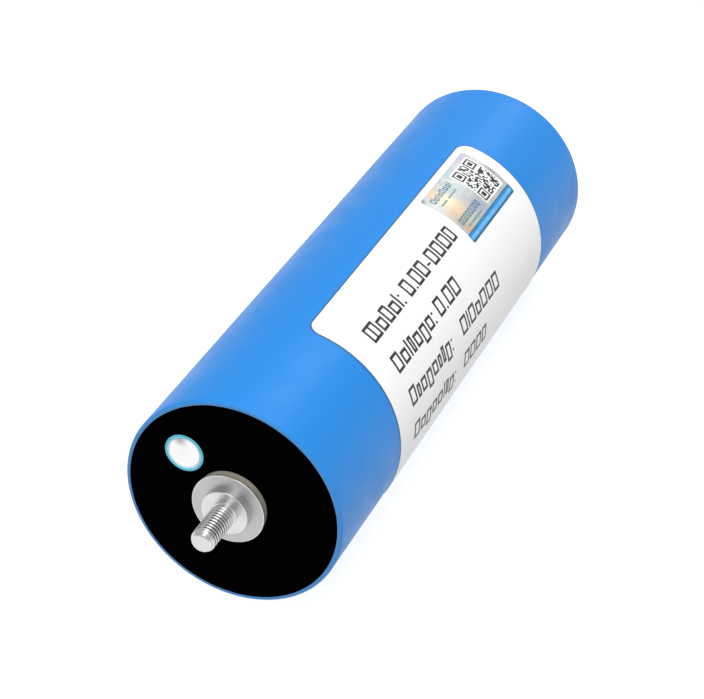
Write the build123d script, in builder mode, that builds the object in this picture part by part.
from build123d import *
import math
import os

# Cylindrical lithium cell with a threaded stud on each end, lying on its side.
# Millimetres, +Z up. The cell's axis is along Y and the origin is the middle of the cell.
# The positive end carries the safety vent and points toward -Y.
# Heights called h are measured outward from the face of the black disc on each end.

os.makedirs("parts", exist_ok=True)

# body
BODY_RADIUS = 23.0            # outside of the shrink sleeve
BODY_LENGTH = 145.3           # between the folded ends of the sleeve
SLEEVE_WALL = 0.1
RIM_ROUND = 0.7               # outside radius of the folded corner
FOLD_INNER_RADIUS = 22.05     # where the folded sleeve stops on the disc
CAN_WALL = 0.9
CAN_EDGE_CHAMFER = 0.3
WELD_GAP = 0.02

# end plates
DISC_THICKNESS = 0.5
DISC_RADIUS = 22.3
DISC_CENTRE_HOLE = 7.4
CAP_THICKNESS = 2.0
CAP_CENTRE_HOLE = 4.05

# terminal
GASKET_RADIUS = 7.32
GASKET_TOP = 1.65
GASKET_NECK_RADIUS = 4.0
GASKET_BORE = 2.3
WASHER_RADIUS = 7.68
WASHER_TOP = 2.07
WASHER_EDGE = 0.15
WASHER_HOLE = 2.6
COLLAR_RADIUS = 4.92
COLLAR_TOP = 3.66
COLLAR_HOLE = 2.27            # swaged on, so it grips the shank
COLLAR_HOLE_CHAMFER = 0.3
COLLAR_EDGE = 0.15
INNER_GASKET_RADIUS = 7.0
INNER_GASKET_THICKNESS = 1.0
STUD_HEAD_RADIUS = 6.5
STUD_HEAD_THICKNESS = 2.0
SHANK_RADIUS = 2.24
THREAD_RADIUS = 2.5           # M5
THREAD_ROOT = 2.15
THREAD_PITCH = 0.8
THREAD_CREST = 0.35
FIRST_CREST = 4.75
CREST_COUNT = 11
STUD_TOP = 13.8
STUD_END = ((2.14, 13.42), (2.05, 13.52), (1.8, 13.68), (1.35, STUD_TOP))   # radius and height

# safety vent, in the positive end
VENT_X = -9.90
VENT_Z = 9.11
VENT_HOLE = 3.0
VENT_RING_OUTER = 4.11
VENT_RING_INNER = 3.35
VENT_RING_TOP = 0.1
VENT_DISC_HOLE = 4.14
FLAP_RADIUS = 3.25
FLAP_THICKNESS = 0.4
FLAP_GAP = 0.02
FILM_THICKNESS = 0.1
SCORE_WIDTH = 0.3
SCORE_DEPTH = 0.12

# filling hole, in the negative end
FILL_OFFSET = 13.45
FILL_STEM = 1.2
FILL_HEAD = 1.9
FILL_HEAD_THICKNESS = 0.5
FILL_GAP = 0.05

# wound roll
ROLL_HALF = 62.5              # the foil edges at each end
FOIL_SETBACK = 2.0            # each electrode stops short of the other's collector
SEPARATOR_HALF = 61.5
TURN_PITCH = 1.5
TURNS = 11
ROLL_START = 3.0
CATHODE_THICKNESS = 0.62
SEPARATOR_THICKNESS = 0.12
ANODE_THICKNESS = 0.52
LAYER_GAP = 0.03
MANDREL_RADIUS = 2.5
MANDREL_BORE = 1.5
WRAP_RADIUS = 21.4
WRAP_THICKNESS = 0.2
TAPE_LENGTH = 100.0
TAPE_ARC = 40.0
TAPE_THICKNESS = 0.15

# collectors and tabs
COLLECTOR_THICKNESS = 0.8
COLLECTOR_RADIUS = 20.8
COLLECTOR_CENTRE_HOLE = 2.6
COLLECTOR_SLOT_COUNT = 6
COLLECTOR_SLOT_RADIUS = 13.0
COLLECTOR_SLOT_LENGTH = 9.0
COLLECTOR_SLOT_WIDTH = 1.6
TAB_WIDTH = 9.0
TAB_THICKNESS = 0.3
TAB_REACH = 8.5               # how far the fold stands from the axis
TAB_HEAD_LEG = 13.0
TAB_DISC_LEG = 5.0
SUPPORT_OUTER = 21.8
SUPPORT_INNER = 21.0
SUPPORT_FLANGE_INNER = 17.2
SUPPORT_FLANGE_THICKNESS = 0.8

# label and security sticker; angles from +Z toward +X, positions along Y
LABEL_Y = (-42.55, 43.95)
LABEL_ANGLES = (6.75, 130.0)
LABEL_THICKNESS = 0.1
LABEL_CORNER = 3.0
STICKER_Y = (14.6, 40.2)
STICKER_ANGLES = (10.65, 48.0)
STICKER_THICKNESS = 0.06
STICKER_CORNER = 0.8

DISC_FACE = BODY_LENGTH / 2 - SLEEVE_WALL
CAN_RADIUS = BODY_RADIUS - SLEEVE_WALL
CAN_BORE = CAN_RADIUS - CAN_WALL
CAP_OUTSIDE = -DISC_THICKNESS
CAP_INSIDE = CAP_OUTSIDE - CAP_THICKNESS
HEAD_OUTSIDE = CAP_INSIDE - INNER_GASKET_THICKNESS
HEAD_INSIDE = HEAD_OUTSIDE - STUD_HEAD_THICKNESS
COLLECTOR_OUTSIDE = ROLL_HALF + COLLECTOR_THICKNESS - DISC_FACE
ENDS = {"positive": -1, "negative": 1}


def across(side, h):
    """Plane across one end at height h, local x right and local y up as seen from outside."""
    return Plane(origin=(0, side * (DISC_FACE + h), 0), x_dir=(-side, 0, 0), z_dir=(0, side, 0))


def along(side):
    """Plane through the axis at one end, local x outward in radius and local y the height h."""
    return Plane(origin=(0, side * DISC_FACE, 0), x_dir=(1, 0, 0), z_dir=(0, 0, side))


def save(part, name):
    part.part.label = name
    export_step(part.part, f"parts/{name}.step")


def ring(side, h_low, h_high, outer, inner):
    """Flat ring between two heights at one end."""
    with BuildPart() as flat:
        with BuildSketch(across(side, h_low)):
            Circle(outer)
            Circle(inner, mode=Mode.SUBTRACT)
        extrude(amount=h_high - h_low)
    return flat


def wound(start_radius, thickness, y_low, y_high):
    """One layer of the roll: half turns about two centres that stand half a pitch apart."""
    step = TURN_PITCH / 2
    halves = range(2 * TURNS)
    last = start_radius + 2 * TURNS * step
    with BuildPart() as layer:
        with BuildSketch(Plane.XZ.offset(-y_high)):
            with BuildLine():
                for k in halves:
                    CenterArc((step * (k % 2), 0), start_radius + k * step, 180 * k, 180)
                Line((last, 0), (last + thickness, 0))
                for k in halves:
                    CenterArc((step * (k % 2), 0), start_radius + thickness + k * step, 180 * k, 180)
                Line((start_radius, 0), (start_radius + thickness, 0))
            make_face()
        extrude(amount=y_high - y_low)
    return layer


def wrapped(y_span, angles, inner, thickness, corner):
    """Sheet bent round the body, with rounded corners."""
    y_mid = (y_span[0] + y_span[1]) / 2
    y_half = (y_span[1] - y_span[0]) / 2
    foot = math.radians(angles[0])
    outward = (math.sin(foot), 0, math.cos(foot))
    round_angle = math.degrees(corner / inner)
    with BuildPart() as sheet:
        with BuildSketch(Plane(origin=(0, y_mid, 0), x_dir=outward, z_dir=(math.cos(foot), 0, -math.sin(foot)))):
            with Locations((inner + thickness / 2, 0)):
                Rectangle(thickness, 2 * y_half)
        revolve(axis=Axis.Y, revolution_arc=angles[1] - angles[0])
        for end, turn in ((angles[0] + round_angle, 1), (angles[1] - round_angle, -1)):
            a = math.radians(end)
            normal = (math.sin(a), 0, math.cos(a))
            centre = (inner * normal[0], y_mid, inner * normal[2])
            with BuildSketch(Plane(origin=centre, x_dir=(0, 1, 0), z_dir=normal)):
                for to_end in (-1, 1):
                    with Locations((to_end * (y_half - corner), 0)):
                        with Locations((to_end * corner, turn * corner)):
                            Rectangle(2 * corner, 2 * corner)
                        Circle(corner, mode=Mode.SUBTRACT)
            extrude(amount=1, both=True, mode=Mode.SUBTRACT)
    return sheet


# ---- skin ----
wall_end = BODY_LENGTH / 2
with BuildPart() as shrink_sleeve:
    with BuildSketch(Plane.XY):
        with BuildLine():
            Line((FOLD_INNER_RADIUS, wall_end), (BODY_RADIUS - RIM_ROUND, wall_end))
            CenterArc((BODY_RADIUS - RIM_ROUND, wall_end - RIM_ROUND), RIM_ROUND, 0, 90)
            Line((BODY_RADIUS, wall_end - RIM_ROUND), (BODY_RADIUS, RIM_ROUND - wall_end))
            CenterArc((BODY_RADIUS - RIM_ROUND, RIM_ROUND - wall_end), RIM_ROUND, 270, 90)
            Line((BODY_RADIUS - RIM_ROUND, -wall_end), (FOLD_INNER_RADIUS, -wall_end))
            Line((FOLD_INNER_RADIUS, -wall_end), (FOLD_INNER_RADIUS, -DISC_FACE))
            Line((FOLD_INNER_RADIUS, -DISC_FACE), (BODY_RADIUS - RIM_ROUND, -DISC_FACE))
            CenterArc((BODY_RADIUS - RIM_ROUND, RIM_ROUND - wall_end), RIM_ROUND - SLEEVE_WALL, 270, 90)
            Line((CAN_RADIUS, RIM_ROUND - wall_end), (CAN_RADIUS, wall_end - RIM_ROUND))
            CenterArc((BODY_RADIUS - RIM_ROUND, wall_end - RIM_ROUND), RIM_ROUND - SLEEVE_WALL, 0, 90)
            Line((BODY_RADIUS - RIM_ROUND, DISC_FACE), (FOLD_INNER_RADIUS, DISC_FACE))
            Line((FOLD_INNER_RADIUS, DISC_FACE), (FOLD_INNER_RADIUS, wall_end))
        make_face()
    revolve(axis=Axis.Y)
save(shrink_sleeve, "shrink_sleeve")

label = wrapped(LABEL_Y, LABEL_ANGLES, BODY_RADIUS, LABEL_THICKNESS, LABEL_CORNER)
save(label, "label")

sticker_inner = BODY_RADIUS + LABEL_THICKNESS
security_sticker = wrapped(STICKER_Y, STICKER_ANGLES, sticker_inner, STICKER_THICKNESS, STICKER_CORNER)
save(security_sticker, "security_sticker")

# ---- can ----
can_half = DISC_FACE - DISC_THICKNESS
with BuildPart() as can:
    with BuildSketch(Plane.XZ.offset(-can_half)):
        Circle(CAN_RADIUS)
        Circle(CAN_BORE, mode=Mode.SUBTRACT)
    extrude(amount=2 * can_half)
    rims = can.edges().filter_by(GeomType.CIRCLE).filter_by(lambda e: e.radius > CAN_BORE + 0.1)
    chamfer(rims, CAN_EDGE_CHAMFER)
save(can, "can")

# ---- both ends ----
for end, side in ENDS.items():
    vented = end == "positive"

    with BuildPart() as insulating_disc:
        with BuildSketch(across(side, CAP_OUTSIDE)):
            Circle(DISC_RADIUS)
            Circle(DISC_CENTRE_HOLE, mode=Mode.SUBTRACT)
            if vented:
                with Locations((VENT_X, VENT_Z)):
                    Circle(VENT_DISC_HOLE, mode=Mode.SUBTRACT)
        extrude(amount=DISC_THICKNESS)
    save(insulating_disc, f"{end}_insulating_disc")

    with BuildPart() as cap:
        with BuildSketch(across(side, CAP_INSIDE)):
            Circle(CAN_BORE - WELD_GAP)
            Circle(CAP_CENTRE_HOLE, mode=Mode.SUBTRACT)
            if vented:
                with Locations((VENT_X, VENT_Z)):
                    Circle(VENT_HOLE, mode=Mode.SUBTRACT)
        extrude(amount=CAP_THICKNESS)
        if not vented:
            with Locations(across(side, CAP_OUTSIDE)):
                with Locations((0, FILL_OFFSET)):
                    CounterBoreHole(
                        radius=FILL_STEM + FILL_GAP,
                        counter_bore_radius=FILL_HEAD + FILL_GAP,
                        counter_bore_depth=FILL_HEAD_THICKNESS,
                    )
    save(cap, f"{end}_cap")

    with BuildPart() as outer_gasket:
        with BuildSketch(across(side, CAP_OUTSIDE)):
            Circle(GASKET_RADIUS)
        extrude(amount=GASKET_TOP - CAP_OUTSIDE)
        with BuildSketch(across(side, CAP_INSIDE)):
            Circle(GASKET_NECK_RADIUS)
        extrude(amount=CAP_THICKNESS)
        with BuildSketch(across(side, CAP_INSIDE)):
            Circle(GASKET_BORE)
        extrude(amount=GASKET_TOP - CAP_INSIDE, mode=Mode.SUBTRACT)
    save(outer_gasket, f"{end}_outer_gasket")

    washer = ring(side, GASKET_TOP, WASHER_TOP, WASHER_RADIUS, WASHER_HOLE)
    with washer:
        outer_edges = washer.edges().filter_by(GeomType.CIRCLE).filter_by(lambda e: e.radius > WASHER_HOLE + 1)
        fillet(outer_edges, WASHER_EDGE)
    save(washer, f"{end}_washer")

    collar = ring(side, WASHER_TOP, COLLAR_TOP, COLLAR_RADIUS, COLLAR_HOLE)
    with collar:
        seat = collar.faces().filter_by(Plane.XZ).sort_by(lambda f: abs(f.center().Y))[-1]
        hole_edge, rim_edge = seat.edges().sort_by(lambda e: e.radius)
        chamfer(hole_edge, COLLAR_HOLE_CHAMFER)
        fillet(rim_edge, COLLAR_EDGE)
    save(collar, f"{end}_collar")

    inner_gasket = ring(side, HEAD_OUTSIDE, CAP_INSIDE, INNER_GASKET_RADIUS, GASKET_BORE)
    save(inner_gasket, f"{end}_inner_gasket")

    flank = (THREAD_RADIUS - THREAD_ROOT) * math.tan(math.radians(30))
    profile = [(0, HEAD_INSIDE), (STUD_HEAD_RADIUS, HEAD_INSIDE), (STUD_HEAD_RADIUS, HEAD_OUTSIDE)]
    profile += [(SHANK_RADIUS, HEAD_OUTSIDE), (SHANK_RADIUS, COLLAR_TOP), (THREAD_ROOT, COLLAR_TOP + 0.2)]
    for n in range(CREST_COUNT):
        crest = FIRST_CREST + n * THREAD_PITCH
        profile.append((THREAD_ROOT, crest - THREAD_CREST / 2 - flank))
        profile.append((THREAD_RADIUS, crest - THREAD_CREST / 2))
        profile.append((THREAD_RADIUS, crest + THREAD_CREST / 2))
        profile.append((THREAD_ROOT, crest + THREAD_CREST / 2 + flank))
    profile += [*STUD_END, (0, STUD_TOP)]
    with BuildPart() as terminal_stud:
        with BuildSketch(along(side)):
            with BuildLine():
                Polyline(profile, close=True)
            make_face()
        revolve(axis=Axis.Y)
    save(terminal_stud, f"{end}_terminal_stud")

    with BuildPart() as tab:
        with BuildSketch(Plane.YZ.offset(-TAB_WIDTH / 2)):
            head = side * (DISC_FACE + HEAD_INSIDE)
            disc = side * (DISC_FACE + COLLECTOR_OUTSIDE)
            with BuildLine():
                Polyline(
                    (head, TAB_REACH - TAB_HEAD_LEG),
                    (head, TAB_REACH),
                    (disc, TAB_REACH),
                    (disc, TAB_REACH - TAB_DISC_LEG),
                    (disc + side * TAB_THICKNESS, TAB_REACH - TAB_DISC_LEG),
                    (disc + side * TAB_THICKNESS, TAB_REACH - TAB_THICKNESS),
                    (head - side * TAB_THICKNESS, TAB_REACH - TAB_THICKNESS),
                    (head - side * TAB_THICKNESS, TAB_REACH - TAB_HEAD_LEG),
                    close=True,
                )
            make_face()
        extrude(amount=TAB_WIDTH)
    save(tab, f"{end}_tab")

    with BuildPart() as collector_disc:
        with BuildSketch(across(side, COLLECTOR_OUTSIDE - COLLECTOR_THICKNESS)):
            Circle(COLLECTOR_RADIUS)
            Circle(COLLECTOR_CENTRE_HOLE, mode=Mode.SUBTRACT)
            with PolarLocations(COLLECTOR_SLOT_RADIUS, COLLECTOR_SLOT_COUNT, start_angle=30):
                SlotOverall(COLLECTOR_SLOT_LENGTH, COLLECTOR_SLOT_WIDTH, mode=Mode.SUBTRACT)
        extrude(amount=COLLECTOR_THICKNESS)
    save(collector_disc, f"{end}_collector_disc")

    with BuildPart() as support_insulator:
        with BuildSketch(across(side, COLLECTOR_OUTSIDE)):
            Circle(SUPPORT_OUTER)
            Circle(SUPPORT_INNER, mode=Mode.SUBTRACT)
        extrude(amount=CAP_INSIDE - COLLECTOR_OUTSIDE)
        with BuildSketch(across(side, CAP_INSIDE)):
            Circle(SUPPORT_OUTER)
            Circle(SUPPORT_FLANGE_INNER, mode=Mode.SUBTRACT)
        extrude(amount=-SUPPORT_FLANGE_THICKNESS)
    save(support_insulator, f"{end}_support_insulator")

# ---- safety vent ----
front = ENDS["positive"]
flap_inside = CAP_OUTSIDE + FLAP_GAP
flap_outside = flap_inside + FLAP_THICKNESS
with BuildPart() as vent_ring:
    with BuildSketch(across(front, CAP_OUTSIDE)):
        with Locations((VENT_X, VENT_Z)):
            Circle(VENT_RING_OUTER)
            Circle(VENT_RING_INNER, mode=Mode.SUBTRACT)
    extrude(amount=VENT_RING_TOP - CAP_OUTSIDE)
save(vent_ring, "vent_ring")

with BuildPart() as vent_flap:
    with BuildSketch(across(front, flap_inside)):
        with Locations((VENT_X, VENT_Z)):
            Circle(FLAP_RADIUS)
    extrude(amount=FLAP_THICKNESS)
    with BuildSketch(across(front, flap_inside)):
        with Locations((VENT_X, VENT_Z)):
            Rectangle(SCORE_WIDTH, 1.6 * FLAP_RADIUS)
            Rectangle(1.6 * FLAP_RADIUS, SCORE_WIDTH)
    extrude(amount=SCORE_DEPTH, mode=Mode.SUBTRACT)
save(vent_flap, "vent_flap")

with BuildPart() as vent_film:
    with BuildSketch(across(front, flap_outside)):
        with Locations((VENT_X, VENT_Z)):
            Circle(FLAP_RADIUS)
    extrude(amount=FILM_THICKNESS)
save(vent_film, "vent_film")

# ---- filling plug ----
back = ENDS["negative"]
with BuildPart() as fill_plug:
    with BuildSketch(across(back, CAP_INSIDE)):
        with Locations((0, FILL_OFFSET)):
            Circle(FILL_STEM)
    extrude(amount=CAP_THICKNESS)
    with BuildSketch(across(back, CAP_OUTSIDE)):
        with Locations((0, FILL_OFFSET)):
            Circle(FILL_HEAD)
    extrude(amount=-FILL_HEAD_THICKNESS)
save(fill_plug, "fill_plug")

# ---- wound roll ----
with BuildPart() as mandrel:
    with BuildSketch(Plane.XZ.offset(-SEPARATOR_HALF)):
        Circle(MANDREL_RADIUS)
        Circle(MANDREL_BORE, mode=Mode.SUBTRACT)
    extrude(amount=2 * SEPARATOR_HALF)
save(mandrel, "mandrel")

inner_separator_start = ROLL_START + CATHODE_THICKNESS + LAYER_GAP
anode_start = inner_separator_start + SEPARATOR_THICKNESS + LAYER_GAP
outer_separator_start = anode_start + ANODE_THICKNESS + LAYER_GAP
short_edge = ROLL_HALF - FOIL_SETBACK
save(wound(ROLL_START, CATHODE_THICKNESS, -ROLL_HALF, short_edge), "cathode_winding")
save(wound(inner_separator_start, SEPARATOR_THICKNESS, -SEPARATOR_HALF, SEPARATOR_HALF), "inner_separator")
save(wound(anode_start, ANODE_THICKNESS, -short_edge, ROLL_HALF), "anode_winding")
save(wound(outer_separator_start, SEPARATOR_THICKNESS, -SEPARATOR_HALF, SEPARATOR_HALF), "outer_separator")

# the last half turn is about the second winding centre
last_turn = outer_separator_start + SEPARATOR_THICKNESS + (TURNS - 0.5) * TURN_PITCH + LAYER_GAP
with BuildPart() as roll_tape:
    with BuildSketch(Plane.XZ.offset(-TAPE_LENGTH / 2)):
        with BuildLine():
            centre = (TURN_PITCH / 2, 0)
            inside = CenterArc(centre, last_turn, -TAPE_ARC, TAPE_ARC)
            outside = CenterArc(centre, last_turn + TAPE_THICKNESS, -TAPE_ARC, TAPE_ARC)
            Line(inside @ 0, outside @ 0)
            Line(inside @ 1, outside @ 1)
        make_face()
    extrude(amount=TAPE_LENGTH)
save(roll_tape, "roll_tape")

with BuildPart() as roll_wrap:
    with BuildSketch(Plane.XZ.offset(-SEPARATOR_HALF)):
        Circle(WRAP_RADIUS)
        Circle(WRAP_RADIUS - WRAP_THICKNESS, mode=Mode.SUBTRACT)
    extrude(amount=2 * SEPARATOR_HALF)
save(roll_wrap, "roll_wrap")
